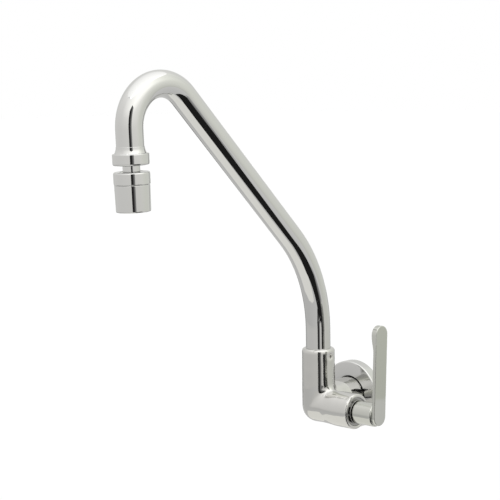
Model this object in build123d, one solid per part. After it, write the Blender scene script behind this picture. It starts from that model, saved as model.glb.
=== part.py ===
from build123d import *
import math
import os

# Wall faucet with a high swivelling spout, a quarter-turn lever valve and a
# ball-jointed aerator. Millimetres, +Z up. The origin is the centre of the wall
# flange's back face, on the inlet axis: the wall is the plane Y = 0 and the
# faucet stands out from it towards -Y. The valve axis runs along X, a little
# below the inlet axis, and crosses the upright sleeve axis in front of the wall.
# Sizes named _x, _y and _z are measured from that crossing.

# ---------------------------------------------------------------- driving sizes
axis_from_wall = 45.3          # wall plane to the valve and sleeve axes
valve_drop = 1.9               # the valve axis lies this far below the inlet axis

# running and assembly clearances, all radial or axial gaps
running_gap = 0.08             # turning fits
seat_gap = 0.05                # pieces that sit in or on each other
slip_gap = 0.3                 # loose covers and curved faces that only pass
cut_margin = 1.0               # grooves and holes are cut from this far outside

# spout tube
tube_r = 9.525                 # 3/4 inch tube
tube_wall = 1.2
run_above_sleeve = 14.85       # straight tube between sleeve top and first bend
lower_bend_r = 105.0
arm_angle = 45.0               # the arm's angle from vertical
arm_length = 151.8
hook_bend_r = 29.3
outlet_lean = 1.9              # the outlet is bent past vertical by this much
drop_length = 18.4             # straight tube after the hook, into the collar

# sleeve of the cast body
sleeve_top_z = 45.4
sleeve_floor_z = 16.5
sleeve_wall_top = 3.0
sleeve_wall_foot = 3.3
sleeve_taper_start_z = 14.0
sleeve_edge_round = 2.1
sleeve_mouth_chamfer = 0.45
inside_corner_round = 4.0      # between the sleeve and the valve housing

# valve housing of the cast body, measured along X from the sleeve axis
housing_end_x = 38.3
housing_wall = 2.7
elbow_waist_x = 9.5            # the elbow is slimmest here
elbow_waist = 0.2              # and this much slimmer than the sleeve's foot
housing_swell_end_x = 24.0
housing_edge_round = 1.3
chamber_floor_x = 12.5
gallery_before_window = 3.1    # the water gallery round the cartridge's windows
gallery_after_window = 1.8
gallery_depth = 0.7
seat_port_r = 4.2
passage_r = 2.5                # the drilled way from the gallery up to the sleeve
passage_in_gallery = 1.0
passage_low_z = 6.0
passage_high_x = 3.5
passage_above_floor = 1.0

# inlet neck, threaded nipple and wall flange
neck_wall = 4.0
neck_front_y = 7.0             # the neck starts this far behind the sleeve axis
neck_front_round = 2.5
neck_end_to_wall = 3.2
neck_port_clearance = 0.2      # the port behind the nipple is this much wider than its bore
thread_r = 10.48               # G 1/2 outside diameter 20.955
thread_in_body = 16.0
thread_past_wall = 14.0
thread_chamfer = 1.0
thread_runout = 1.0
relief_depth = 1.1
relief_end_to_wall = 0.7
nipple_bore_r = 6.8
nipple_hex_start = 4.0
strainer_ledge = 0.9
strainer_seat_depth = 3.0
strainer_thickness = 0.8
strainer_hole_r = 0.42
strainer_pitch = 1.35
strainer_rim = 0.8             # the rim's width and its height above the plate
strainer_hole_margin = 1.5
gasket_width = 3.6
flange_r = 26.9
flange_thickness = 8.4
flange_front_wall = 2.0
flange_rim_wall = 2.4
flange_edge_round = 1.1
flange_seal_width = 5.2
flange_seal_thickness = 3.0
grip_ring_width = 2.0
grip_ring_thickness = 2.2

# spigot that turns in the sleeve
tube_in_sleeve = 3.1           # the tube's foot stands this far below the sleeve's top
spigot_plug_length = 12.0
spigot_plug_wall = 1.975
thrust_washer_thickness = 1.0
lock_groove_depth = 0.85
lock_screw_below_top = 5.6
lock_screw_r = 2.0
lock_tip_r = 1.15
lock_tip_length = 0.95
lock_socket_flats = 2.0
lock_socket_depth = 1.6
glide_ring_below_top = 11.9
glide_ring_height = 3.0
glide_ring_thickness = 1.0
glide_ring_slit = 0.8
spigot_rings_above_floor = (6.5, 12.5)
spigot_ring_section = 0.95     # O-ring section radius

# cartridge, along X from the sleeve axis
cartridge_r = 8.9
cartridge_wall = 1.3
cartridge_seat_gap = 0.8       # the cartridge's wall starts this far above the chamber floor
shoulder_depth = 8.3           # its shoulder sits this far inside the housing
shoulder_thickness = 2.5
shoulder_width = 1.9
cartridge_neck_wall = 1.62
cartridge_neck_reach = 4.7     # the neck ends this far outside the housing
window_past_disc = 0.45        # the windows start beside the moving disc
window_into_driver = 2.5       # and end beside the spindle's driver
window_width = 8.0
cartridge_ring_to_shoulder = 3.0
cartridge_ring_section = 0.75
seat_seal_bore_r = 4.4
seat_seal_length = 2.1
disc_gap = 0.2                 # the discs' gap to the cartridge's wall
disc_thickness = 2.5
disc_port_r = 5.6
disc_hub_r = 1.2
disc_web_angle = 24.0
spindle_r = 4.9
driver_thickness = 2.75
driver_tongue_depth = 0.8
driver_tongue_width = 3.0
driver_tongue_inset = 0.7      # the tongue ends this far inside the disc's edge
slip_washer_thickness = 0.75
spindle_rings_past_shoulder = (4.2, 10.2)
spindle_ring_section = 0.7
clip_thickness = 0.9
clip_width = 1.2               # the clip stands this far out of the spindle
clip_groove_depth = 1.0
clip_slot_angle = 70.0
spindle_tail_step = 0.3        # the spindle is slimmer past its clip
clip_to_spline = 1.0
spline_step = 0.6              # the splines are slimmer than the spindle's tail
spline_depth = 0.45
spline_teeth = 20
spline_length = 9.0

# ring nut that closes the housing round the cartridge
nut_face_inset = 0.5
nut_boss_wall = 2.1
nut_boss_reach = 1.2           # the boss ends this far outside the housing
nut_rim_least = 1.0            # the nut's face round the boss is at least this wide
nut_neck_gap = 0.6
nut_edge_round = 0.35

# handle: hub and lever in one casting
hub_wall = 1.7
hub_neck_gap = 0.5
hub_to_housing = 2.1
hub_length = 17.55
hub_end_round = 1.6
insert_wall = 1.7
grub_from_hub_start = 9.6
grub_r = 2.0
grub_inset = 0.4
grub_socket_flats = 2.0
grub_socket_depth = 1.5
lever_thickness = 2.7
lever_tip_thickness = 4.65
lever_tip_start_z = 47.0       # above this the lever thickens towards its tip
lever_tip_full_z = 61.0
lever_width = 13.5
lever_top_z = 68.2
lever_bottom_z = -7.7
lever_edge_round = 0.55
lever_lean = 3.0               # the closed lever leans to the wall by this much

# outlet, along its own axis
flare_height = 4.6             # the flare on top of the collar
flare_width = 1.325
collar_above_tube_end = 2.5
collar_height = 7.8
collar_ledge = 1.45            # the collar stands this far out of the flare's foot
collar_top_round = 0.7
collar_bottom_round = 1.3
flare_lip = 0.2
web_thickness = 1.4
web_bore_clearance = 0.7
stem_r = 5.95
stem_wall = 2.05
stem_thread_height = 1.1       # the stem's threaded head stands this far out of it
stem_gasket_thickness = 1.0
ball_r = 8.0
ball_below_collar = 11.3       # from the collar's underside to the ball's centre
ball_cut = 5.5                 # the ball is cut flat this far below its centre
slip_ring_thickness = 0.7
slip_ring_above = 2.8
slip_ring_below = 1.2
cap_above_ball_centre = 6.9
cap_height = 8.4
cap_ledge = 1.65               # the cap stands this far out of its spigot
cap_edge_round = 1.3
cap_lip_inset = 0.1            # the lip's mouth is narrower than the ball by this
cap_mouth_flare = 0.7
cap_cavity_step = 0.4
cap_spigot_wall = 1.65
cap_spigot_length = 5.0
ball_seat_top = 3.8            # the seat starts this far below the ball's centre
ball_seat_bottom = 6.8
ball_seat_bore_r = 5.0
seam_gap = 0.35
seam_round = 0.3
shell_height = 18.35
shell_taper = 0.35
shell_bottom_round = 0.9
shell_wall_at_thread = 1.3
shell_ledge_width = 0.9
shell_lip_width = 0.7
shell_lip_height = 1.0
washer_thickness = 1.0
washer_bore_r = 6.0
insert_flange_thickness = 1.2
insert_wall_thickness = 1.2
insert_plate_thickness = 1.0
insert_port_r = 0.8
insert_port_circle_r = 6.0
insert_port_count = 12
screen_thickness = 0.5
screen_spacing = 2.2
screen_count = 2
screen_hole_r = 0.4
screen_pitch = 1.25
screen_hole_margin = 1.0
grid_thickness = 1.6
grid_hole_flats = 2.1
grid_web = 0.45

# ---------------------------------------------------------------- derived sizes
valve = Pos(0, -axis_from_wall, -valve_drop)
along_x = Rot(0, 90, 0)
along_y = Rot(-90, 0, 0)
inlet_axis = Pos(0, 0, valve_drop) * along_y

sleeve_bore_r = tube_r + running_gap
sleeve_top_r = sleeve_bore_r + sleeve_wall_top
sleeve_foot_r = sleeve_bore_r + sleeve_wall_foot
spindle_bore_r = spindle_r + running_gap
cartridge_neck_r = spindle_bore_r + cartridge_neck_wall
nut_bore_r = cartridge_neck_r + nut_neck_gap
nut_boss_r = nut_bore_r + nut_boss_wall
shoulder_r = max(cartridge_r + shoulder_width, nut_boss_r + nut_rim_least)
chamber_r = cartridge_r + seat_gap
mouth_r = shoulder_r + seat_gap
housing_r = mouth_r + housing_wall
neck_r = thread_r + neck_wall
neck_end_y = axis_from_wall - neck_end_to_wall
neck_port_r = nipple_bore_r + neck_port_clearance
nipple_hex_flats = 2 * nipple_bore_r
strainer_seat_r = nipple_bore_r + strainer_ledge

cartridge_start_x = chamber_floor_x + cartridge_seat_gap
cartridge_bore_r = cartridge_r - cartridge_wall
shoulder_x = housing_end_x - shoulder_depth
cartridge_ring_x = shoulder_x - cartridge_ring_to_shoulder
cartridge_neck_end_x = housing_end_x + cartridge_neck_reach
disc_r = cartridge_bore_r - disc_gap
fixed_disc_x = chamber_floor_x + seat_seal_length
moving_disc_x = fixed_disc_x + disc_thickness + seat_gap
driver_x = moving_disc_x + disc_thickness + seat_gap
slip_washer_x = driver_x + driver_thickness + seat_gap
spindle_shoulder_x = slip_washer_x + slip_washer_thickness + seat_gap
spindle_ring_x = [spindle_shoulder_x + past for past in spindle_rings_past_shoulder]
window_start_x = moving_disc_x + window_past_disc
window_end_x = driver_x + window_into_driver
gallery_start_x = window_start_x - gallery_before_window
gallery_end_x = window_end_x + gallery_after_window
clip_r = spindle_r + clip_width
clip_x = cartridge_neck_end_x + seat_gap
spline_r = spindle_r - spindle_tail_step - spline_step
spline_start_x = clip_x + clip_thickness + clip_to_spline
hub_cavity_end_x = spline_start_x - seat_gap
hub_socket_r = spline_r + insert_wall
spindle_end_x = spline_start_x + spline_length
nut_face_x = housing_end_x - nut_face_inset
nut_start_x = shoulder_x + shoulder_thickness + seat_gap
nut_boss_end_x = housing_end_x + nut_boss_reach
hub_cavity_r = cartridge_neck_r + hub_neck_gap
hub_r = hub_cavity_r + hub_wall
hub_start_x = housing_end_x + hub_to_housing
grub_x = hub_start_x + grub_from_hub_start
lever_inner_x = hub_start_x + hub_length
lever_outer_x = lever_inner_x + lever_thickness

tube_inner_r = tube_r - tube_wall
tube_foot_z = sleeve_top_z - tube_in_sleeve
lower_bend_z = sleeve_top_z + run_above_sleeve
lock_screw_z = sleeve_top_z - lock_screw_below_top
glide_ring_z = sleeve_top_z - glide_ring_below_top
spigot_foot_z = sleeve_floor_z + thrust_washer_thickness + seat_gap
spigot_ring_z = [sleeve_floor_z + above for above in spigot_rings_above_floor]
spigot_plug_r = tube_inner_r - seat_gap
spigot_bore_r = spigot_plug_r - spigot_plug_wall
hook_turn = 180.0 - arm_angle + outlet_lean

# heights named _top, _bottom, _start, _end and _centre below run down the outlet
# axis from the hook's end
collar_top = drop_length - collar_above_tube_end
collar_bottom = collar_top + collar_height
flare_start = collar_top - flare_height
flare_lip_r = tube_r + seat_gap + flare_lip
flare_base_r = flare_lip_r + flare_width
collar_r = flare_base_r + collar_ledge
stem_bore_r = stem_r - stem_wall
stem_thread_r = stem_r + stem_thread_height
web_bore_r = stem_bore_r + web_bore_clearance
ball_centre = collar_bottom + ball_below_collar
cap_seat_r = ball_r + slip_ring_thickness + 2 * seat_gap
cap_lip_r = ball_r - cap_lip_inset
cap_mouth_r = cap_lip_r + cap_mouth_flare
cap_cavity_r = cap_seat_r + cap_cavity_step
cap_spigot_r = cap_cavity_r + cap_spigot_wall
cap_r = cap_spigot_r + cap_ledge
cap_top = ball_centre - cap_above_ball_centre
cap_bottom = cap_top + cap_height
cap_spigot_end = cap_bottom + cap_spigot_length
shell_bore_r = cap_spigot_r + seat_gap
shell_top_r = shell_bore_r + shell_wall_at_thread
shell_bottom_r = shell_top_r - shell_taper
shell_top = cap_bottom + seam_gap
shell_bottom = shell_top + shell_height
washer_top = ball_centre + ball_seat_bottom + seat_gap
insert_top = washer_top + washer_thickness
ledge_at = insert_top + insert_flange_thickness
shell_inner_r = shell_bore_r - shell_ledge_width
insert_r = shell_inner_r - seat_gap
grid_top = shell_bottom - shell_lip_height - grid_thickness


# ---------------------------------------------------------------- shape helpers
def rounded(face, rounds):
    """Rounds the corners of a flat outline; rounds holds (corner, radius) pairs."""
    for corner, radius in rounds:
        nearest = min(face.vertices(), key=lambda v: (Vector(v) - Vector(*corner)).length)
        face = fillet(nearest, radius)
    return face


def spun(face):
    """Turns an outline drawn as (radius, height) once round the Z axis."""
    return Rot(90, 0, 0) * revolve(face, Axis.Y)


def turned(profile, rounds=()):
    """A turned piece round Z from its (radius, height) corners."""
    return spun(rounded(make_face(Polyline(*profile, close=True)), rounds))


def ring(inner_r, outer_r, start, height):
    """A plain ring or washer round Z."""
    return turned([(inner_r, start), (outer_r, start), (outer_r, start + height), (inner_r, start + height)])


def rod(radius, start, end):
    """A plain round bar along Z."""
    return Pos(0, 0, start) * Cylinder(radius, end - start, align=(Align.CENTER, Align.CENTER, Align.MIN))


def o_ring(mean_r, section_r, height):
    return Pos(0, 0, height) * Torus(mean_r, section_r)


def hexagon_bar(flats, start, end):
    outline = RegularPolygon(flats / 2, 6, major_radius=False)
    return Pos(0, 0, start) * extrude(outline, end - start)


def splined_bar(radius, depth, teeth, start, end):
    """A bar with straight-sided V splines."""
    points = []
    for i in range(2 * teeth):
        r = radius if i % 2 == 0 else radius - depth
        angle = math.pi * i / teeth
        points.append((r * math.cos(angle), r * math.sin(angle)))
    return Pos(0, 0, start) * extrude(make_face(Polyline(*points, close=True)), end - start)


def hex_places(pitch, reach):
    """Centres of a honeycomb pattern that lie inside a circle."""
    row_height = pitch * math.sqrt(3) / 2
    rows = int(reach / row_height) + 1
    places = []
    for row in range(-rows, rows + 1):
        shift = pitch / 2 if row % 2 else 0.0
        columns = int(reach / pitch) + 1
        for column in range(-columns, columns + 1):
            x = column * pitch + shift
            y = row * row_height
            if math.hypot(x, y) <= reach:
                places.append((x, y))
    return places


def handle_turned(shape):
    """Places a piece that turns with the handle, built upright, at its closed lean."""
    return valve * Rot(-lever_lean, 0, 0) * shape


def save(name, shape):
    export_step(shape, f"parts/{name}.step")


# ---------------------------------------------------------------- cast body
def valve_body():
    ball_end = CenterArc((0, 0), sleeve_foot_r, -90, 90)
    sides = Polyline(
        (sleeve_foot_r, 0),
        (sleeve_foot_r, sleeve_taper_start_z),
        (sleeve_top_r, sleeve_top_z),
        (0, sleeve_top_z),
        (0, -sleeve_foot_r),
    )
    sleeve_face = make_face([ball_end] + list(sides.edges()))
    sleeve = spun(rounded(sleeve_face, [((sleeve_top_r, sleeve_top_z), sleeve_edge_round)]))
    swell = Spline(
        (sleeve_foot_r, 0),
        (sleeve_foot_r - elbow_waist, elbow_waist_x),
        (housing_r, housing_swell_end_x),
        tangents=((0, 1), (0, 1)),
    )
    outline = Polyline(
        (housing_r, housing_swell_end_x),
        (housing_r, housing_end_x),
        (0, housing_end_x),
        (0, 0),
        (sleeve_foot_r, 0),
    )
    housing_face = make_face([swell] + list(outline.edges()))
    housing = along_x * spun(rounded(housing_face, [((housing_r, housing_end_x), housing_edge_round)]))
    elbow = sleeve + housing
    inside_corner = [
        edge
        for edge in elbow.edges().filter_by(GeomType.BSPLINE)
        if (edge @ 0.5).X > 0 and (edge @ 0.5).Z > 0
    ]
    elbow = fillet(inside_corner, inside_corner_round)
    neck = inlet_axis * turned(
        [(0, neck_front_y), (neck_r, neck_front_y), (neck_r, neck_end_y), (0, neck_end_y)],
        [((neck_r, neck_front_y), neck_front_round)],
    )
    body = elbow + neck

    sleeve_bore = turned(
        [
            (0, sleeve_floor_z),
            (sleeve_bore_r, sleeve_floor_z),
            (sleeve_bore_r, sleeve_top_z - sleeve_mouth_chamfer),
            (sleeve_bore_r + sleeve_mouth_chamfer, sleeve_top_z),
            (0, sleeve_top_z),
        ]
    )
    chamber = turned(
        [
            (0, 0),
            (seat_port_r, 0),
            (seat_port_r, chamber_floor_x),
            (chamber_r, chamber_floor_x),
            (chamber_r, gallery_start_x),
            (chamber_r + gallery_depth, gallery_start_x),
            (chamber_r + gallery_depth, gallery_end_x),
            (chamber_r, gallery_end_x),
            (chamber_r, shoulder_x),
            (mouth_r, shoulder_x),
            (mouth_r, housing_end_x),
            (0, housing_end_x),
        ]
    )
    thread_start_y = neck_end_y - thread_in_body
    inlet = turned(
        [
            (0, 0),
            (neck_port_r, 0),
            (neck_port_r, thread_start_y - thread_runout),
            (thread_r + seat_gap, thread_start_y - thread_runout),
            (thread_r + seat_gap, neck_end_y),
            (0, neck_end_y),
        ]
    )
    low = Vector(gallery_start_x + passage_in_gallery, 0, passage_low_z)
    high = Vector(passage_high_x, 0, sleeve_floor_z + passage_above_floor)
    way = high - low
    passage = Plane(origin=low, z_dir=way) * rod(passage_r, 0, way.length)
    lock_hole = Pos(0, 0, lock_screw_z) * along_x * rod(lock_screw_r + seat_gap, 0, sleeve_foot_r)
    body = body - sleeve_bore - along_x * chamber - inlet_axis * inlet - passage - lock_hole
    return valve * body


# ---------------------------------------------------------------- wall side
def wall_flange():
    hole_r = neck_r + slip_gap
    inner_r = flange_r - flange_rim_wall
    shape = turned(
        [
            (hole_r, -flange_thickness),
            (flange_r, -flange_thickness),
            (flange_r, 0),
            (inner_r, 0),
            (inner_r, -flange_thickness + flange_front_wall),
            (hole_r, -flange_thickness + flange_front_wall),
        ],
        [((flange_r, -flange_thickness), flange_edge_round)],
    )
    return along_y * shape


def flange_seal():
    outer_r = flange_r - flange_rim_wall - seat_gap
    return along_y * ring(outer_r - flange_seal_width, outer_r, -flange_seal_thickness, flange_seal_thickness)


def flange_grip_ring():
    start = -flange_thickness + flange_front_wall + seat_gap
    return along_y * ring(neck_r + seat_gap, neck_r + grip_ring_width, start, grip_ring_thickness)


def inlet_nipple():
    start = -neck_end_to_wall - thread_in_body
    outside = turned(
        [
            (0, start),
            (thread_r - thread_chamfer, start),
            (thread_r, start + thread_chamfer),
            (thread_r, -neck_end_to_wall),
            (thread_r - relief_depth, -neck_end_to_wall),
            (thread_r - relief_depth, -relief_end_to_wall),
            (thread_r, -relief_end_to_wall),
            (thread_r, thread_past_wall - thread_chamfer),
            (thread_r - thread_chamfer, thread_past_wall),
            (0, thread_past_wall),
        ]
    )
    seat_start = thread_past_wall - strainer_seat_depth
    bore = rod(nipple_bore_r, start, thread_past_wall)
    socket = hexagon_bar(nipple_hex_flats, nipple_hex_start, seat_start)
    seat = rod(strainer_seat_r, seat_start, thread_past_wall)
    return along_y * (outside - bore - socket - seat)


def inlet_gasket():
    inner_r = thread_r + 2 * seat_gap
    height = neck_end_to_wall - relief_end_to_wall
    return along_y * ring(inner_r, inner_r + gasket_width, -neck_end_to_wall, height)


def inlet_strainer():
    outer_r = strainer_seat_r - seat_gap
    start = thread_past_wall - strainer_seat_depth
    plate = rod(outer_r, start, start + strainer_thickness)
    rim = ring(outer_r - strainer_rim, outer_r, start, strainer_thickness + strainer_rim)
    holes = [
        Pos(x, y, 0) * rod(strainer_hole_r, start, start + strainer_thickness)
        for x, y in hex_places(strainer_pitch, outer_r - strainer_hole_margin)
    ]
    return along_y * (plate - holes + rim)


# ---------------------------------------------------------------- cartridge
def cartridge_body():
    outside = turned(
        [
            (cartridge_bore_r, cartridge_start_x),
            (cartridge_r, cartridge_start_x),
            (cartridge_r, shoulder_x),
            (shoulder_r, shoulder_x),
            (shoulder_r, shoulder_x + shoulder_thickness),
            (cartridge_neck_r, shoulder_x + shoulder_thickness),
            (cartridge_neck_r, cartridge_neck_end_x),
            (spindle_bore_r, cartridge_neck_end_x),
            (spindle_bore_r, spindle_shoulder_x),
            (cartridge_bore_r, spindle_shoulder_x),
        ]
    )
    groove_half = cartridge_ring_section + seat_gap
    groove_floor = chamber_r - 2 * cartridge_ring_section - seat_gap
    groove = ring(
        groove_floor, cartridge_r + cut_margin, cartridge_ring_x - groove_half, 2 * groove_half
    )
    window_height = window_end_x - window_start_x
    window_at = Pos(0, 0, (window_start_x + window_end_x) / 2)
    windows = window_at * Box(2 * (cartridge_r + cut_margin), window_width, window_height)
    return valve * along_x * (outside - groove - windows)


def cartridge_o_ring():
    mean_r = chamber_r - cartridge_ring_section - seat_gap
    return valve * along_x * o_ring(mean_r, cartridge_ring_section, cartridge_ring_x)


def cartridge_seat_seal():
    return valve * along_x * ring(
        seat_seal_bore_r, cartridge_bore_r - seat_gap, chamber_floor_x, seat_seal_length - seat_gap
    )


def ported_disc(start):
    """A ceramic disc with two facing quarter ports."""
    disc = rod(disc_r, start, start + disc_thickness)
    port = rod(disc_port_r, start, start + disc_thickness)
    half_angle = (90.0 - disc_web_angle) / 2
    reach = 2 * disc_port_r
    side = reach * math.tan(math.radians(half_angle))
    wedge_face = make_face(Polyline((0, 0), (reach, side), (reach, -side), close=True))
    wedge = Pos(0, 0, start) * extrude(wedge_face, disc_thickness)
    hub = rod(disc_hub_r, start, start + disc_thickness)
    ports = port & (wedge + Rot(0, 0, 180) * wedge)
    return disc - (ports - hub)


def fixed_ceramic_disc():
    return valve * along_x * ported_disc(fixed_disc_x)


def moving_ceramic_disc():
    disc = Rot(0, 0, 90) * ported_disc(moving_disc_x)
    slot_at = Pos(0, 0, driver_x - seat_gap - driver_tongue_depth / 2)
    slot = slot_at * Box(driver_tongue_width + 2 * seat_gap, 2 * disc_r, driver_tongue_depth)
    return handle_turned(along_x * (disc - slot))


def spindle():
    outside = turned(
        [
            (0, driver_x),
            (disc_r, driver_x),
            (disc_r, driver_x + driver_thickness),
            (spindle_r, driver_x + driver_thickness),
            (spindle_r, clip_x),
            (spindle_r - clip_groove_depth, clip_x),
            (spindle_r - clip_groove_depth, clip_x + clip_thickness),
            (spindle_r - spindle_tail_step, clip_x + clip_thickness),
            (spindle_r - spindle_tail_step, spline_start_x),
            (0, spline_start_x),
        ]
    )
    spline = splined_bar(spline_r, spline_depth, spline_teeth, spline_start_x, spindle_end_x)
    tongue_at = Pos(0, 0, driver_x - driver_tongue_depth / 2)
    tongue_length = 2 * (disc_r - driver_tongue_inset)
    tongue = tongue_at * Box(driver_tongue_width, tongue_length, driver_tongue_depth)
    side_ports = [
        Pos(side * disc_r, 0, driver_x + driver_thickness / 2) * Box(disc_r, window_width, driver_thickness)
        for side in (-1, 1)
    ]
    groove_floor = spindle_bore_r - 2 * spindle_ring_section - seat_gap
    groove_half = spindle_ring_section + seat_gap
    grooves = [
        ring(groove_floor, spindle_r + cut_margin, x - groove_half, 2 * groove_half)
        for x in spindle_ring_x
    ]
    return handle_turned(along_x * (outside + spline + tongue - side_ports - grooves))


def spindle_o_rings():
    mean_r = spindle_bore_r - spindle_ring_section - seat_gap
    rings = [valve * along_x * o_ring(mean_r, spindle_ring_section, x) for x in spindle_ring_x]
    return Compound(rings)


def spindle_slip_washer():
    return valve * along_x * ring(
        spindle_r + seat_gap, cartridge_bore_r - disc_gap, slip_washer_x, slip_washer_thickness
    )


def spindle_clip():
    inner_r = spindle_r - clip_groove_depth + seat_gap
    full = ring(inner_r, clip_r, clip_x + seat_gap, clip_thickness - 2 * seat_gap)
    reach = 2 * clip_r
    side = reach * math.tan(math.radians(clip_slot_angle / 2))
    mouth = extrude(make_face(Polyline((0, 0), (reach, side), (reach, -side), close=True)), clip_thickness)
    return valve * along_x * (full - Pos(0, 0, clip_x) * mouth)


def retaining_nut():
    outer_r = mouth_r - seat_gap
    return valve * along_x * turned(
        [
            (nut_bore_r, nut_start_x),
            (outer_r, nut_start_x),
            (outer_r, nut_face_x),
            (nut_boss_r, nut_face_x),
            (nut_boss_r, nut_boss_end_x),
            (nut_bore_r, nut_boss_end_x),
        ],
        [((nut_boss_r, nut_boss_end_x), nut_edge_round), ((outer_r, nut_face_x), nut_edge_round)],
    )


# ---------------------------------------------------------------- handle
def lever_handle():
    hub = along_x * turned(
        [(0, hub_start_x), (hub_r, hub_start_x), (hub_r, lever_inner_x), (0, lever_inner_x)],
        [((hub_r, lever_inner_x), hub_end_round), ((hub_r, hub_start_x), nut_edge_round)],
    )
    half = lever_width / 2
    outline = make_face(
        [
            Line((-half, lever_bottom_z + half), (-half, lever_top_z - half)),
            ThreePointArc((-half, lever_top_z - half), (0, lever_top_z), (half, lever_top_z - half)),
            Line((half, lever_top_z - half), (half, lever_bottom_z + half)),
            ThreePointArc((half, lever_bottom_z + half), (0, lever_bottom_z), (-half, lever_bottom_z + half)),
        ]
    )
    blank_start_x = lever_outer_x - 2 * lever_tip_thickness
    blank_thickness = 2 * lever_tip_thickness
    blank = Plane(origin=(blank_start_x, 0, 0), x_dir=(0, 1, 0), z_dir=(1, 0, 0)) * extrude(
        outline, blank_thickness
    )
    tip_inner_x = lever_outer_x - lever_tip_thickness
    belly = Spline(
        (lever_inner_x, lever_tip_start_z),
        (tip_inner_x, lever_tip_full_z),
        tangents=((0, 1), (0, 1)),
    )
    side = make_face(
        [belly]
        + list(
            Polyline(
                (tip_inner_x, lever_tip_full_z),
                (tip_inner_x, lever_top_z + cut_margin),
                (lever_outer_x, lever_top_z + cut_margin),
                (lever_outer_x, lever_bottom_z - cut_margin),
                (lever_inner_x, lever_bottom_z - cut_margin),
                (lever_inner_x, lever_tip_start_z),
            ).edges()
        )
    )
    side_bar = Rot(90, 0, 0) * Pos(0, 0, -lever_width) * extrude(side, 2 * lever_width)
    lever = blank & side_bar
    tip_edges = lever.edges().filter_by(GeomType.CIRCLE).group_by(Axis.Z)[-1]
    lever = fillet(tip_edges, lever_edge_round)
    shape = lever + hub
    cavity = rod(hub_cavity_r, hub_start_x, hub_cavity_end_x)
    socket = rod(hub_socket_r + seat_gap, hub_cavity_end_x, spindle_end_x + seat_gap)
    grub_hole = Pos(grub_x, 0, 0) * Rot(180, 0, 0) * rod(grub_r + seat_gap, 0, hub_r + cut_margin)
    return handle_turned(shape - along_x * (cavity + socket) - grub_hole)


def spline_insert():
    insert = rod(hub_socket_r, spline_start_x, spindle_end_x)
    socket = splined_bar(
        spline_r + seat_gap, spline_depth, spline_teeth, spline_start_x, spindle_end_x
    )
    grub_hole = Pos(grub_x, 0, 0) * Rot(180, 0, 0) * rod(grub_r + seat_gap, 0, hub_r)
    return handle_turned(along_x * (insert - socket) - grub_hole)


def socket_screw(radius, length, socket_flats, socket_depth):
    """A grub screw along Z with its hex socket at the top, foot at height 0."""
    return rod(radius, 0, length) - hexagon_bar(socket_flats, length - socket_depth, length)


def handle_grub_screw():
    foot = spline_r + 2 * seat_gap
    length = hub_r - grub_inset - foot
    screw = Pos(0, 0, foot) * socket_screw(grub_r, length, grub_socket_flats, grub_socket_depth)
    return handle_turned(Pos(grub_x, 0, 0) * Rot(180, 0, 0) * screw)


# ---------------------------------------------------------------- spout
def spout_path():
    """The tube's centreline in the plane X = 0, drawn as (y, z)."""
    with BuildLine(Plane.YZ) as path:
        foot = Line((0, tube_foot_z), (0, lower_bend_z))
        lower = JernArc(start=foot @ 1, tangent=foot % 1, radius=lower_bend_r, arc_size=arm_angle)
        arm = Line(lower @ 1, lower @ 1 + (lower % 1) * arm_length)
        hook = JernArc(start=arm @ 1, tangent=arm % 1, radius=hook_bend_r, arc_size=hook_turn)
        Line(hook @ 1, hook @ 1 + (hook % 1) * drop_length)
    return path.line, hook @ 1, hook % 1


path_line, hook_end, outlet_direction = spout_path()
outlet = valve * Plane(origin=hook_end, x_dir=(1, 0, 0), z_dir=outlet_direction).location


def spout_tube():
    section = Pos(0, 0, tube_foot_z) * (Circle(tube_r) - Circle(tube_inner_r))
    return valve * sweep(section, path_line)


def spout_spigot():
    outside = turned(
        [
            (spigot_bore_r, spigot_foot_z),
            (tube_r, spigot_foot_z),
            (tube_r, tube_foot_z),
            (spigot_plug_r, tube_foot_z),
            (spigot_plug_r, tube_foot_z + spigot_plug_length),
            (spigot_bore_r, tube_foot_z + spigot_plug_length),
        ]
    )
    lock_half = lock_tip_r + slip_gap
    lock_groove = ring(
        tube_r - lock_groove_depth, tube_r + cut_margin, lock_screw_z - lock_half, 2 * lock_half
    )
    glide_groove = ring(
        sleeve_bore_r - glide_ring_thickness - 2 * seat_gap,
        tube_r + cut_margin,
        glide_ring_z - seat_gap,
        glide_ring_height + 2 * seat_gap,
    )
    ring_half = spigot_ring_section + seat_gap
    ring_floor = sleeve_bore_r - 2 * spigot_ring_section - 2 * seat_gap
    ring_grooves = [
        ring(ring_floor, tube_r + cut_margin, z - ring_half, 2 * ring_half) for z in spigot_ring_z
    ]
    return valve * (outside - lock_groove - glide_groove - ring_grooves)


def spigot_o_rings():
    mean_r = sleeve_bore_r - seat_gap - spigot_ring_section
    return Compound([valve * o_ring(mean_r, spigot_ring_section, z) for z in spigot_ring_z])


def spigot_glide_ring():
    outer_r = sleeve_bore_r - seat_gap
    band = ring(outer_r - glide_ring_thickness, outer_r, glide_ring_z, glide_ring_height)
    slit_at = Pos(0, outer_r, glide_ring_z + glide_ring_height / 2)
    slit = slit_at * Box(glide_ring_slit, 4 * glide_ring_thickness, glide_ring_height)
    return valve * (band - slit)


def sleeve_thrust_washer():
    return valve * ring(spigot_bore_r, sleeve_bore_r - slip_gap, sleeve_floor_z, thrust_washer_thickness)


def spout_lock_screw():
    tip_end = tube_r - lock_groove_depth + slip_gap
    body_start = tip_end + lock_tip_length
    surface_r = sleeve_top_r + slip_gap / 2
    body = Pos(0, 0, body_start) * socket_screw(
        lock_screw_r, surface_r - slip_gap - body_start, lock_socket_flats, lock_socket_depth
    )
    tip = rod(lock_tip_r, tip_end, body_start)
    return valve * Pos(0, 0, lock_screw_z) * along_x * (body + tip)


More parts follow.
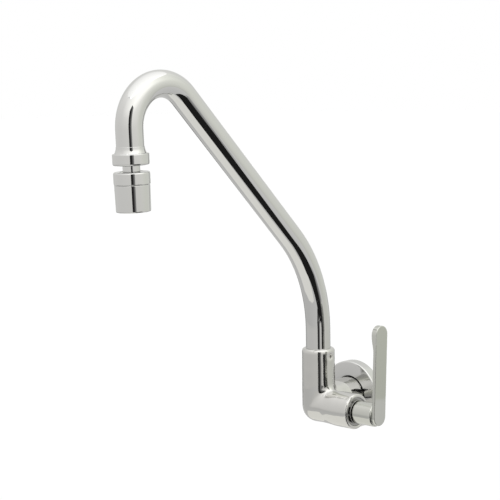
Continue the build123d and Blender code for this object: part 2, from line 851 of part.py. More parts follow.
# ---------------------------------------------------------------- outlet
def outlet_collar():
    bore_r = tube_r + seat_gap
    flare = TangentArc((flare_lip_r, flare_start), (flare_base_r, collar_top), tangent=(0, 1))
    thread_r_here = stem_thread_r + seat_gap
    outline = Polyline(
        (flare_base_r, collar_top),
        (collar_r, collar_top),
        (collar_r, collar_bottom),
        (thread_r_here, collar_bottom),
        (thread_r_here, drop_length + web_thickness),
        (web_bore_r, drop_length + web_thickness),
        (web_bore_r, drop_length + seat_gap),
        (bore_r, drop_length + seat_gap),
        (bore_r, flare_start),
        (flare_lip_r, flare_start),
    )
    face = make_face([flare] + list(outline.edges()))
    face = rounded(
        face,
        [((collar_r, collar_top), collar_top_round), ((collar_r, collar_bottom), collar_bottom_round)],
    )
    return outlet * spun(face)


def stem_gasket():
    start = drop_length + web_thickness
    return outlet * ring(web_bore_r, stem_thread_r - seat_gap, start, stem_gasket_thickness)


def ball_stem():
    thread_top = drop_length + web_thickness + stem_gasket_thickness
    thread = rod(stem_thread_r, thread_top, collar_bottom)
    stem = rod(stem_r, thread_top, ball_centre)
    ball = Pos(0, 0, ball_centre) * Sphere(ball_r)
    cut = rod(ball_r, ball_centre + ball_cut, ball_centre + ball_r)
    bore = rod(stem_bore_r, thread_top, ball_centre + ball_r)
    return outlet * (thread + stem + ball - cut - bore)


def sphere_height(radius, at_r):
    return math.sqrt(radius * radius - at_r * at_r)


def ball_slip_ring():
    inner = Sphere(ball_r + seat_gap)
    outer = Sphere(ball_r + seat_gap + slip_ring_thickness)
    band = rod(2 * ball_r, -slip_ring_above, slip_ring_below)
    return outlet * Pos(0, 0, ball_centre) * ((outer - inner) & band)


def aerator_cap():
    lip_at = ball_centre - sphere_height(cap_seat_r, cap_lip_r)
    outside = turned(
        [
            (0, cap_top),
            (cap_r, cap_top),
            (cap_r, cap_bottom),
            (cap_spigot_r, cap_bottom),
            (cap_spigot_r, cap_spigot_end),
            (0, cap_spigot_end),
        ],
        [((cap_r, cap_top), cap_edge_round), ((cap_r, cap_bottom), seam_round)],
    )
    mouth = turned([(0, cap_top), (cap_mouth_r, cap_top), (cap_lip_r, lip_at), (0, lip_at)])
    seat_zone = rod(cap_r, lip_at, ball_centre)
    seat = (Pos(0, 0, ball_centre) * Sphere(cap_seat_r)) & seat_zone
    cavity_start = ball_centre - slip_ring_above + 2 * slip_gap
    cavity = rod(cap_cavity_r, cavity_start, cap_spigot_end)
    return outlet * (outside - mouth - seat - cavity)


def ball_seat():
    face_r = ball_r + running_gap
    block = ring(
        ball_seat_bore_r,
        cap_cavity_r - seat_gap,
        ball_centre + ball_seat_top,
        ball_seat_bottom - ball_seat_top,
    )
    return outlet * (block - Pos(0, 0, ball_centre) * Sphere(face_r))


def aerator_shell():
    shape = turned(
        [
            (shell_bore_r, shell_top),
            (shell_top_r, shell_top),
            (shell_bottom_r, shell_bottom),
            (shell_inner_r - shell_lip_width, shell_bottom),
            (shell_inner_r - shell_lip_width, shell_bottom - shell_lip_height),
            (shell_inner_r, shell_bottom - shell_lip_height),
            (shell_inner_r, ledge_at),
            (shell_bore_r, ledge_at),
        ],
        [
            ((shell_top_r, shell_top), seam_round),
            ((shell_bottom_r, shell_bottom), shell_bottom_round),
        ],
    )
    return outlet * shape


def aerator_washer():
    return outlet * ring(washer_bore_r, shell_bore_r - seat_gap, washer_top, washer_thickness)


def aerator_insert():
    cup = turned(
        [
            (0, insert_top),
            (shell_bore_r - seat_gap, insert_top),
            (shell_bore_r - seat_gap, ledge_at - seat_gap),
            (insert_r, ledge_at - seat_gap),
            (insert_r, grid_top - seat_gap),
            (insert_r - insert_wall_thickness, grid_top - seat_gap),
            (insert_r - insert_wall_thickness, insert_top + insert_plate_thickness),
            (0, insert_top + insert_plate_thickness),
        ]
    )
    ports = []
    for i in range(insert_port_count):
        turn = Rot(0, 0, 360 * i / insert_port_count)
        port = rod(insert_port_r, insert_top, insert_top + insert_plate_thickness)
        ports.append(turn * Pos(insert_port_circle_r, 0, 0) * port)
    return outlet * (cup - ports)


def aerator_screens():
    screen_r = insert_r - insert_wall_thickness - seat_gap
    first = insert_top + insert_plate_thickness + screen_spacing
    screens = []
    for i in range(screen_count):
        start = first + i * screen_spacing
        disc = rod(screen_r, start, start + screen_thickness)
        holes = [
            Pos(x, y, 0) * rod(screen_hole_r, start, start + screen_thickness)
            for x, y in hex_places(screen_pitch, screen_r - screen_hole_margin)
        ]
        screens.append(outlet * (disc - holes))
    return Compound(screens)


def aerator_grid():
    disc = rod(insert_r, grid_top, grid_top + grid_thickness)
    pitch = grid_hole_flats + grid_web
    holes = [
        Pos(x, y, 0) * Rot(0, 0, 30) * hexagon_bar(grid_hole_flats, grid_top, grid_top + grid_thickness)
        for x, y in hex_places(pitch, insert_r - grid_hole_flats)
    ]
    return outlet * (disc - holes)


# ---------------------------------------------------------------- every piece
pieces = [
    valve_body,
    wall_flange,
    flange_seal,
    flange_grip_ring,
    inlet_nipple,
    inlet_gasket,
    inlet_strainer,
    cartridge_body,
    cartridge_o_ring,
    cartridge_seat_seal,
    fixed_ceramic_disc,
    moving_ceramic_disc,
    spindle,
    spindle_o_rings,
    spindle_slip_washer,
    spindle_clip,
    retaining_nut,
    lever_handle,
    spline_insert,
    handle_grub_screw,
    spout_tube,
    spout_spigot,
    spigot_o_rings,
    spigot_glide_ring,
    sleeve_thrust_washer,
    spout_lock_screw,
    outlet_collar,
    stem_gasket,
    ball_stem,
    ball_slip_ring,
    aerator_cap,
    ball_seat,
    aerator_shell,
    aerator_washer,
    aerator_insert,
    aerator_screens,
    aerator_grid,
]

os.makedirs("parts", exist_ok=True)
for piece in pieces:
    save(piece.__name__, piece())
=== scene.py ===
import bmesh
import bpy
import math
from mathutils import Matrix, Vector


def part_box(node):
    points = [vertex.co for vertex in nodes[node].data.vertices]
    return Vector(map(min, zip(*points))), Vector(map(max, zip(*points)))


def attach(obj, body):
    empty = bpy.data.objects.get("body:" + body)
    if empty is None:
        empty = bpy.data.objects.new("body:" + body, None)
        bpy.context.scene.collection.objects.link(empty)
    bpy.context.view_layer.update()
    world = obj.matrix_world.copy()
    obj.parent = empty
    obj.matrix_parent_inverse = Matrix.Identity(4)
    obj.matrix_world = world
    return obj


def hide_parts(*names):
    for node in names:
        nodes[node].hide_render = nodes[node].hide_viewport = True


# Looks of the wall faucet: its finishes, the pieces whose surface is finer than
# the construction's, the studio round it and the camera. Metres, in the frame's axes.

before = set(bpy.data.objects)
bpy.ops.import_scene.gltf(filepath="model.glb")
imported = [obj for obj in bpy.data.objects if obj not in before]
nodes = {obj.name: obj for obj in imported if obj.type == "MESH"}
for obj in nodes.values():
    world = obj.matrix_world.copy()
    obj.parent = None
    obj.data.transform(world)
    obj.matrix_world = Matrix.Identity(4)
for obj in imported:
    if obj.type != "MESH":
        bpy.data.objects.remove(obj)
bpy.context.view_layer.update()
MM = 0.001

# ---------------------------------------------------------------- sizes of the spout tube
tube_low, tube_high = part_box("spout_tube")
tube_r = tube_high.x
tube_skin_r = tube_r - 0.02 * MM  # keeps the hook's true curve inside the construction's facets
tube_wall = 1.2 * MM
sleeve_axis = Vector((0.0, tube_high.y - tube_r, 0.0))
tube_foot_z = tube_low.z
lower_bend_z = 58.35 * MM
lower_bend_r = 105.0 * MM
arm_angle = math.radians(45.0)
arm_length = 151.8 * MM
hook_r = 29.3 * MM
outlet_lean = math.radians(1.9)
drop_length = 18.4 * MM
tube_sides = 96
bend_step = 1.6 * MM             # distance between the tube's rings in a bend
straight_step = 4 * bend_step
tube_crease = math.radians(35.0)

# ---------------------------------------------------------------- sizes of the wall flange
flange_low, flange_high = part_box("wall_flange")
flange_r = flange_high.x
flange_face_y = flange_low.y
flange_edge_round = 1.1 * MM
flange_round_steps = 8
flange_front_wall = 2.0 * MM
flange_rim_wall = 2.4 * MM
flange_hole_r = 15.1 * MM
flange_hole_chamfer = 0.5 * MM
flange_sides = 144
flange_crease = math.radians(30.0)

# ---------------------------------------------------------------- sizes of the inlet nipple
# Places along it are from the wall's face; the ones behind that face are positive.
nipple_front_y = -19.2 * MM
nipple_back_y = 14.0 * MM
nipple_chamfer = 1.0 * MM
nipple_bore_r = 6.8 * MM
groove_r = 9.38 * MM             # the plain groove between the two threads
groove_front_y = -3.2 * MM
groove_back_y = -0.7 * MM
key_corner_r = 7.7 * MM          # the hexagonal key socket, as wide between flats as the bore
key_front_y = 4.0 * MM
key_back_y = 11.0 * MM
thread_pitch = 1.814 * MM
thread_depth = 1.162 * MM
thread_crest_r = 10.48 * MM
thread_rounding = 0.12           # share of the depth that rounds crest and root
thread_sides = 96
rings_per_turn = 14
cut_from_r = nipple_bore_r + 2.0 * MM   # nearer the axis than this the thread cuts nothing
thread_crease = math.radians(50.0)

same_place = 0.001 * MM          # points closer together than this are one

# ---------------------------------------------------------------- camera of the photograph
camera_place = Vector((0.70660, -0.85138, 0.24067))
camera_heading = math.radians(43.999)
camera_dip = math.radians(6.393)
camera_roll = math.radians(-1.078)
camera_lens_mm = 100.56
camera_sensor_mm = 36.0
camera_nearest = 0.01


def photo_camera():
    """In front of the wall, to the faucet's right and a little above it."""
    ahead = Vector(
        (
            -math.sin(camera_heading) * math.cos(camera_dip),
            math.cos(camera_heading) * math.cos(camera_dip),
            -math.sin(camera_dip),
        )
    )
    level_right = Vector((math.cos(camera_heading), math.sin(camera_heading), 0.0))
    level_up = level_right.cross(ahead)
    right = math.cos(camera_roll) * level_right + math.sin(camera_roll) * level_up
    up = math.cos(camera_roll) * level_up - math.sin(camera_roll) * level_right
    data = bpy.data.cameras.new("photo_camera")
    data.lens = camera_lens_mm
    data.sensor_width = camera_sensor_mm
    data.clip_start = camera_nearest
    camera = bpy.data.objects.new("photo_camera", data)
    turn = Matrix((right, up, -ahead)).transposed().to_4x4()
    camera.matrix_world = Matrix.Translation(camera_place) @ turn
    bpy.context.scene.collection.objects.link(camera)
    bpy.context.scene.camera = camera


# ---------------------------------------------------------------- node trees
class Wiring:
    """A node tree, with short ways to add to it."""

    def __init__(self, tree):
        self.tree = tree

    def feed(self, socket, source):
        """Joins a socket to the one that feeds it, or sets it to a plain value."""
        if isinstance(source, bpy.types.NodeSocket):
            self.tree.links.new(source, socket)
        else:
            socket.default_value = source

    def node(self, kind, feeds=None, **settings):
        """A new node; feeds has what goes into its inputs, by their name or number."""
        made = self.tree.nodes.new(kind)
        for key, value in settings.items():
            setattr(made, key, value)
        for key, source in (feeds or {}).items():
            self.feed(made.inputs[key], source)
        return made

    def math(self, operation, *operands):
        """The result of a sum on sockets and numbers."""
        feeds = dict(enumerate(operands))
        return self.node("ShaderNodeMath", feeds, operation=operation).outputs["Value"]


# ---------------------------------------------------------------- mixing finishes
wave_rate = 20.0                 # how fast the wave texture runs at a scale of 1


class Finish(Wiring):
    """A surface finish: one shader, with patterns that read Object coordinates."""

    def __init__(self, name, colour, roughness, metallic=0.0):
        self.material = bpy.data.materials.new(name)
        self.material.use_nodes = True
        super().__init__(self.material.node_tree)
        self.surface = self.tree.nodes["Principled BSDF"].inputs
        self.feed(self.surface["Base Color"], (*colour, 1.0))
        self.feed(self.surface["Roughness"], roughness)
        self.feed(self.surface["Metallic"], metallic)
        self.place = self.node("ShaderNodeTexCoord").outputs["Object"]

    def stretched(self, scales):
        """Object coordinates pulled longer or shorter along each axis."""
        return self.node("ShaderNodeMapping", {"Vector": self.place, "Scale": scales}).outputs["Vector"]

    def grain(self, size, detail=2.0, place=None):
        """Soft cloudy pattern whose spots are about size across."""
        feeds = {"Vector": place or self.place, "Scale": 1.0 / size, "Detail": detail}
        return self.node("ShaderNodeTexNoise", feeds).outputs["Fac"]

    def cells(self, size):
        """Bubbles or crumbs about size across."""
        feeds = {"Vector": self.place, "Scale": 1.0 / size}
        return self.node("ShaderNodeTexVoronoi", feeds).outputs["Distance"]

    def lathe_marks(self, pitch, direction):
        """Fine, slightly wavering rings left by the lathe tool round an axis through the origin."""
        scale = 2 * math.pi / (wave_rate * pitch)
        feeds = {"Vector": self.place, "Scale": scale, "Distortion": 0.6, "Detail": 1.0}
        rings = self.node("ShaderNodeTexWave", feeds, wave_type="RINGS", rings_direction=direction)
        return rings.outputs["Fac"]

    def calmer_above(self, pattern, height, fade=4 * MM, kept=0.25):
        """The pattern, centred on 0; above a height only the share kept is left of its strength."""
        axes = self.node("ShaderNodeSeparateXYZ", {"Vector": self.place}).outputs
        fading = {
            "Value": axes["Z"],
            "From Min": height - fade,
            "From Max": height,
            "To Min": 1.0,
            "To Max": kept,
        }
        strength = self.node("ShaderNodeMapRange", fading).outputs["Result"]
        centred = self.math("SUBTRACT", pattern, 0.5)
        return self.math("MULTIPLY", centred, strength)

    def roughen(self, pattern, smoothest, roughest):
        """Spreads the roughness between two values by a pattern."""
        feeds = {"Value": pattern, "To Min": smoothest, "To Max": roughest}
        spread = self.node("ShaderNodeMapRange", feeds)
        self.feed(self.surface["Roughness"], spread.outputs["Result"])

    def tint(self, pattern, dark, light):
        """Colours the surface between two shades by a pattern."""
        feeds = {"Factor": pattern, "A": (*dark, 1.0), "B": (*light, 1.0)}
        mix = self.node("ShaderNodeMix", feeds, data_type="RGBA")
        self.feed(self.surface["Base Color"], mix.outputs["Result"])

    def relief(self, pattern, depth, under=None):
        """Lets a pattern stand out of the surface by depth; under is a softened normal to start from."""
        bump = self.node("ShaderNodeBump", {"Height": pattern, "Distance": depth, "Strength": 1.0})
        if under is not None:
            self.feed(bump.inputs["Normal"], under)
        self.feed(self.surface["Normal"], bump.outputs["Normal"])


def chrome(name, colour, wave_size, wave_depth, edge_blend=0.0, smooth_above=None):
    """Bright chrome plate over polished metal, which keeps a trace of the polishing waves.

    Edges look rounded by edge_blend; above the height smooth_above the waves are a quarter as deep."""
    finish = Finish(name, colour, roughness=0.04, metallic=1.0)
    finish.roughen(finish.grain(9 * MM, detail=3.0), smoothest=0.03, roughest=0.05)
    waves = finish.grain(wave_size, detail=0.0)
    if smooth_above is not None:
        waves = finish.calmer_above(waves, smooth_above)
    blended_edges = None
    if edge_blend:
        bevel = finish.node("ShaderNodeBevel", {"Radius": edge_blend}, samples=16)
        blended_edges = bevel.outputs["Normal"]
    finish.relief(waves, wave_depth, blended_edges)
    return finish.material


def turned_brass(name, dull, bright):
    """Turned brass, clouded between a dull and a bright shade, with the tool's fine rings."""
    finish = Finish(name, bright, roughness=0.25, metallic=1.0)
    finish.tint(finish.grain(2.5 * MM, detail=4.0), dull, bright)
    finish.roughen(finish.grain(1.2 * MM, detail=3.0), smoothest=0.18, roughest=0.34)
    finish.relief(finish.lathe_marks(0.35 * MM, "Y"), depth=0.004 * MM)
    return finish.material


def stainless_steel():
    """Steel with fine scratches."""
    finish = Finish("stainless_steel", (0.62, 0.61, 0.59), roughness=0.3, metallic=1.0)
    scratches = finish.grain(0.3 * MM, detail=4.0, place=finish.stretched((1.0, 12.0, 1.0)))
    finish.roughen(scratches, smoothest=0.2, roughest=0.4)
    finish.relief(scratches, depth=0.003 * MM)
    return finish.material


def black_rubber():
    """Dull black rubber with a trace of the mould."""
    finish = Finish("black_rubber", (0.018, 0.018, 0.02), roughness=0.6)
    clouds = finish.grain(1.5 * MM, detail=3.0)
    finish.tint(clouds, dark=(0.012, 0.012, 0.014), light=(0.035, 0.035, 0.037))
    finish.relief(finish.grain(0.25 * MM, detail=3.0), depth=0.01 * MM)
    finish.roughen(finish.grain(0.8 * MM), smoothest=0.5, roughest=0.72)
    return finish.material


def grey_fibre():
    """Pressed sheet of short fibres."""
    finish = Finish("grey_fibre", (0.30, 0.32, 0.30), roughness=0.85)
    fibres = finish.grain(0.35 * MM, detail=5.0, place=finish.stretched((1.0, 0.3, 4.0)))
    finish.tint(fibres, dark=(0.19, 0.21, 0.20), light=(0.42, 0.44, 0.41))
    finish.relief(fibres, depth=0.03 * MM)
    return finish.material


def grey_foam():
    """Closed-cell foam, with the cut bubbles showing."""
    finish = Finish("grey_foam", (0.16, 0.16, 0.17), roughness=0.9)
    bubbles = finish.cells(0.55 * MM)
    finish.tint(bubbles, dark=(0.09, 0.09, 0.10), light=(0.24, 0.24, 0.25))
    finish.relief(bubbles, depth=0.12 * MM)
    return finish.material


def white_ceramic():
    """Lapped white ceramic, faintly mottled."""
    finish = Finish("white_ceramic", (0.86, 0.85, 0.82), roughness=0.12)
    mottle = finish.grain(0.4 * MM, detail=5.0)
    finish.tint(mottle, dark=(0.80, 0.79, 0.76), light=(0.89, 0.88, 0.86))
    finish.roughen(finish.grain(2.0 * MM), smoothest=0.08, roughest=0.18)
    return finish.material


def white_acetal():
    """Milky engineering plastic with a waxy shine."""
    finish = Finish("white_acetal", (0.82, 0.82, 0.79), roughness=0.4)
    finish.tint(finish.grain(1.8 * MM), dark=(0.78, 0.78, 0.75), light=(0.86, 0.86, 0.84))
    finish.relief(finish.grain(0.3 * MM), depth=0.004 * MM)
    finish.roughen(finish.grain(0.9 * MM), smoothest=0.32, roughest=0.46)
    return finish.material


def pale_plastic():
    """Moulded, slightly clouded light grey plastic."""
    finish = Finish("pale_plastic", (0.66, 0.67, 0.66), roughness=0.35)
    finish.tint(finish.grain(1.4 * MM), dark=(0.60, 0.61, 0.60), light=(0.71, 0.72, 0.71))
    finish.relief(finish.grain(0.2 * MM), depth=0.005 * MM)
    finish.roughen(finish.grain(0.7 * MM), smoothest=0.28, roughest=0.42)
    return finish.material


chrome_colour = (0.640, 0.642, 0.636)
cast_colour = (0.625, 0.622, 0.607)
lever_colour = (0.555, 0.562, 0.530)
hub_shade_colour = (0.34, 0.34, 0.33)   # painted shade: the nut's chrome is darkened as if it lay in the shade of the lever's hub

cast_chrome = chrome(
    "cast_chrome",
    cast_colour,
    wave_size=8 * MM,
    wave_depth=0.3 * MM,
    edge_blend=3.5 * MM,
    smooth_above=16 * MM,
)
tube_chrome = chrome("tube_chrome", chrome_colour, wave_size=25 * MM, wave_depth=0.01 * MM)
turned_chrome = chrome(
    "turned_chrome",
    chrome_colour,
    wave_size=9 * MM,
    wave_depth=0.003 * MM,
    edge_blend=0.45 * MM,
)
# The retaining nut's chrome, darker with painted shade from the lever's hub.
nut_chrome = chrome("nut_chrome", hub_shade_colour, wave_size=6 * MM, wave_depth=0.002 * MM)
flange_chrome = chrome("flange_chrome", chrome_colour, wave_size=9 * MM, wave_depth=0.003 * MM)
lever_chrome = chrome(
    "lever_chrome",
    lever_colour,
    wave_size=14 * MM,
    wave_depth=0.01 * MM,
    edge_blend=0.6 * MM,
)
brass = turned_brass("bare_brass", dull=(0.66, 0.46, 0.22), bright=(0.83, 0.64, 0.36))
# Painted shade: the cartridge body's brass is made nearly black so the gap between nut and hub looks
# shaded.
greased_brass = turned_brass("greased_brass", dull=(0.025, 0.018, 0.010), bright=(0.060, 0.045, 0.028))
steel = stainless_steel()
rubber = black_rubber()
fibre = grey_fibre()
foam = grey_foam()
ceramic = white_ceramic()
acetal = white_acetal()
plastic = pale_plastic()

finish_of = {
    "valve_body": cast_chrome,
    "wall_flange": flange_chrome,
    "flange_seal": foam,
    "flange_grip_ring": rubber,
    "inlet_nipple": brass,
    "inlet_gasket": fibre,
    "inlet_strainer": steel,
    "cartridge_body": greased_brass,
    "cartridge_o_ring": rubber,
    "cartridge_seat_seal": rubber,
    "fixed_ceramic_disc": ceramic,
    "moving_ceramic_disc": ceramic,
    "spindle": brass,
    "spindle_o_rings": rubber,
    "spindle_slip_washer": acetal,
    "spindle_clip": steel,
    "retaining_nut": nut_chrome,
    "lever_handle": lever_chrome,
    "spline_insert": brass,
    "handle_grub_screw": steel,
    "spout_tube": tube_chrome,
    "spout_spigot": brass,
    "spigot_o_rings": rubber,
    "spigot_glide_ring": acetal,
    "sleeve_thrust_washer": acetal,
    "spout_lock_screw": steel,
    "outlet_collar": turned_chrome,
    "stem_gasket": rubber,
    "ball_stem": turned_chrome,
    "ball_slip_ring": acetal,
    "aerator_cap": turned_chrome,
    "ball_seat": acetal,
    "aerator_shell": turned_chrome,
    "aerator_washer": rubber,
    "aerator_insert": plastic,
    "aerator_screens": steel,
    "aerator_grid": plastic,
}
for node_name, material in finish_of.items():
    for slot in nodes[node_name].material_slots:
        slot.material = material


# ---------------------------------------------------------------- making pieces
class Grown(Wiring):
    """A geometry node tree with named inputs, run once on a mesh and kept as a plain mesh."""

    def __init__(self, name, inputs):
        super().__init__(bpy.data.node_groups.new(name, "GeometryNodeTree"))
        self.name = name
        face = self.tree.interface
        face.new_socket(name="Geometry", in_out="INPUT", socket_type="NodeSocketGeometry")
        face.new_socket(name="Geometry", in_out="OUTPUT", socket_type="NodeSocketGeometry")
        self.values = {}
        for label, (kind, value) in inputs.items():
            socket = face.new_socket(name=label, in_out="INPUT", socket_type="NodeSocket" + kind)
            self.values[socket.identifier] = value
        self.given = self.node("NodeGroupInput").outputs
        self.end = self.node("NodeGroupOutput").inputs

    def grow(self, mesh, geometry, material):
        """Ends the tree, runs it on the mesh and gives back the grown mesh."""
        smooth = self.node("GeometryNodeSetShadeSmooth", {"Geometry": geometry})
        real = self.node("GeometryNodeRealizeInstances", {"Geometry": smooth.outputs["Geometry"]})
        coat = {"Geometry": real.outputs["Geometry"], "Material": material}
        painted = self.node("GeometryNodeSetMaterial", coat)
        self.feed(self.end["Geometry"], painted.outputs["Geometry"])
        seedling = bpy.data.objects.new(self.name, mesh)
        bpy.context.scene.collection.objects.link(seedling)
        modifier = seedling.modifiers.new(self.name, "NODES")
        modifier.node_group = self.tree
        for identifier, value in self.values.items():
            modifier[identifier] = value
        bpy.context.view_layer.update()
        graph = bpy.context.evaluated_depsgraph_get()
        grown = bpy.data.meshes.new_from_object(seedling.evaluated_get(graph), depsgraph=graph)
        bpy.data.objects.remove(seedling)
        return grown


def turned(name, outline, sides):
    """A ring turned round the inlet's axis from a closed outline of radii and places along it.

    Where a point of the outline is marked as key, it makes the key socket's hexagon."""
    sixth = math.pi / 3
    points = []
    for r, y, *key in outline:
        for i in range(sides):
            a = 2 * math.pi * i / sides
            here = r
            if key:
                from_flat = (a + sixth / 2) % sixth - sixth / 2
                here = min(r / math.cos(from_flat), key_corner_r)
            points.append((here * math.cos(a), y, here * math.sin(a)))
    faces = []
    for j in range(len(outline)):
        row = j * sides
        next_row = (j + 1) % len(outline) * sides
        for i in range(sides):
            n = (i + 1) % sides
            faces.append((row + i, next_row + i, next_row + n, row + n))
    mesh = bpy.data.meshes.new(name)
    mesh.from_pydata(points, [], faces)
    return mesh


def closed_and_smoothed(mesh, crease):
    """Merges doubles, turns the faces outward and keeps the edges sharper than crease sharp."""
    work = bmesh.new()
    work.from_mesh(mesh)
    bmesh.ops.remove_doubles(work, verts=work.verts, dist=same_place)
    bmesh.ops.recalc_face_normals(work, faces=work.faces)
    for face in work.faces:
        face.smooth = True
    for edge in work.edges:
        edge.smooth = edge.calc_face_angle(0.0) < crease
    work.to_mesh(mesh)
    work.free()


def placed(name, mesh, material, body, node_name):
    """Puts a finished mesh in the place of one of the construction's pieces."""
    mesh.materials.clear()
    mesh.materials.append(material)
    piece = bpy.data.objects.new(name, mesh)
    bpy.context.scene.collection.objects.link(piece)
    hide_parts(node_name)
    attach(piece, body)


# ---------------------------------------------------------------- spout tube
def arc_points(centre, radius, start, end):
    """Points on an arc in the tube's plane, angles from straight ahead (-Y) upward."""
    steps = max(2, round(radius * abs(end - start) / bend_step))
    points = []
    for i in range(1, steps + 1):
        a = start + (end - start) * i / steps
        points.append((0.0, centre[0] - radius * math.cos(a), centre[1] + radius * math.sin(a)))
    return points


def line_points(start, direction, length):
    """Points along a straight run, the first left out."""
    steps = max(1, round(length / straight_step))
    points = []
    for i in range(1, steps + 1):
        reach = length * i / steps
        points.append((0.0, start[1] + reach * direction[0], start[2] + reach * direction[1]))
    return points


def tube_path():
    """The centre line of the bent tube from its foot in the sleeve to its end in the collar."""
    foot = (0.0, sleeve_axis.y, tube_foot_z)
    path = [foot]
    path += line_points(foot, (0.0, 1.0), lower_bend_z - tube_foot_z)
    bend_centre = (sleeve_axis.y - lower_bend_r, lower_bend_z)
    path += arc_points(bend_centre, lower_bend_r, math.pi, math.pi - arm_angle)
    path += line_points(path[-1], (-math.sin(arm_angle), math.cos(arm_angle)), arm_length)
    hook_centre = (
        path[-1][1] - hook_r * math.cos(arm_angle),
        path[-1][2] - hook_r * math.sin(arm_angle),
    )
    path += arc_points(hook_centre, hook_r, math.pi - arm_angle, -outlet_lean)
    path += line_points(path[-1], (math.sin(outlet_lean), -math.cos(outlet_lean)), drop_length)
    return path


def bridged_ends(mesh, middle_y):
    """Closes the end faces of the tube's foot and outlet, on either side of middle_y."""
    work = bmesh.new()
    work.from_mesh(mesh)
    rims = [edge for edge in work.edges if edge.is_boundary]
    foot_rims = [edge for edge in rims if edge.verts[0].co.y > middle_y]
    outlet_rims = [edge for edge in rims if edge.verts[0].co.y <= middle_y]
    for rim in (foot_rims, outlet_rims):
        bmesh.ops.bridge_loops(work, edges=rim)
    work.to_mesh(mesh)
    work.free()


def spout_tube():
    """The bent tube, swept along its centre line."""
    path = tube_path()
    line = bpy.data.meshes.new("tube_centre_line")
    line.from_pydata(path, [(i, i + 1) for i in range(len(path) - 1)], [])
    sweep = Grown(
        "bent_tube",
        {
            "Outside Radius": ("Float", tube_skin_r),
            "Wall": ("Float", tube_wall),
            "Sides": ("Int", tube_sides),
        },
    )
    curve = sweep.node("GeometryNodeMeshToCurve", {"Mesh": sweep.given["Geometry"]}).outputs["Curve"]
    walls = sweep.node("GeometryNodeJoinGeometry")
    outside = sweep.given["Outside Radius"]
    bore = sweep.math("SUBTRACT", outside, sweep.given["Wall"])
    for radius, inward in ((outside, False), (bore, True)):
        circle = {"Resolution": sweep.given["Sides"], "Radius": radius}
        ring = sweep.node("GeometryNodeCurvePrimitiveCircle", circle).outputs["Curve"]
        skin = sweep.node("GeometryNodeCurveToMesh", {"Curve": curve, "Profile Curve": ring})
        side = skin.outputs["Mesh"]
        if inward:
            side = sweep.node("GeometryNodeFlipFaces", {"Mesh": side}).outputs["Mesh"]
        sweep.feed(walls.inputs["Geometry"], side)
    both = {"Geometry": walls.outputs["Geometry"], "Distance": same_place}
    merged = sweep.node("GeometryNodeMergeByDistance", both)
    mesh = sweep.grow(line, merged.outputs["Geometry"], tube_chrome)
    bridged_ends(mesh, middle_y=0.5 * (path[0][1] + path[-1][1]))
    closed_and_smoothed(mesh, tube_crease)
    placed("bent_spout_tube", mesh, tube_chrome, "spout", "spout_tube")


# ---------------------------------------------------------------- wall flange
def wall_flange():
    """The flange, with its rounded rim and the chamfered hole round the neck."""
    inside_r = flange_r - flange_rim_wall
    inside_y = flange_face_y + flange_front_wall
    outline = [
        (inside_r, 0.0),
        (inside_r, inside_y),
        (flange_hole_r, inside_y),
        (flange_hole_r, flange_face_y + flange_hole_chamfer),
        (flange_hole_r + flange_hole_chamfer, flange_face_y),
    ]
    for i in range(flange_round_steps + 1):
        a = math.pi / 2 * i / flange_round_steps
        r = flange_r - flange_edge_round * (1 - math.sin(a))
        y = flange_face_y + flange_edge_round * (1 - math.cos(a))
        outline.append((r, y))
    outline.append((flange_r, 0.0))
    mesh = turned("chamfered_flange", outline, flange_sides)
    closed_and_smoothed(mesh, flange_crease)
    placed("chamfered_flange", mesh, flange_chrome, "body", "wall_flange")


# ---------------------------------------------------------------- inlet nipple
def threaded(start, end):
    """A run of the nipple's outline with rings close enough to cut a thread into."""
    steps = round((end - start) / thread_pitch * rings_per_turn)
    return [(thread_crest_r, start + (end - start) * i / steps) for i in range(steps + 1)]


def nipple_outline():
    """Radius and place along the pipe of the nipple's rings, those of the key socket marked."""
    end_r = thread_crest_r - nipple_chamfer
    return [
        (end_r, nipple_front_y),
        *threaded(nipple_front_y + nipple_chamfer, groove_front_y),
        (groove_r, groove_front_y),
        (groove_r, groove_back_y),
        *threaded(groove_back_y, nipple_back_y - nipple_chamfer),
        (end_r, nipple_back_y),
        (key_corner_r, nipple_back_y),
        (key_corner_r, key_back_y),
        (nipple_bore_r, key_back_y, "key"),
        (nipple_bore_r, key_front_y, "key"),
        (nipple_bore_r, key_front_y),
        (nipple_bore_r, nipple_front_y),
    ]


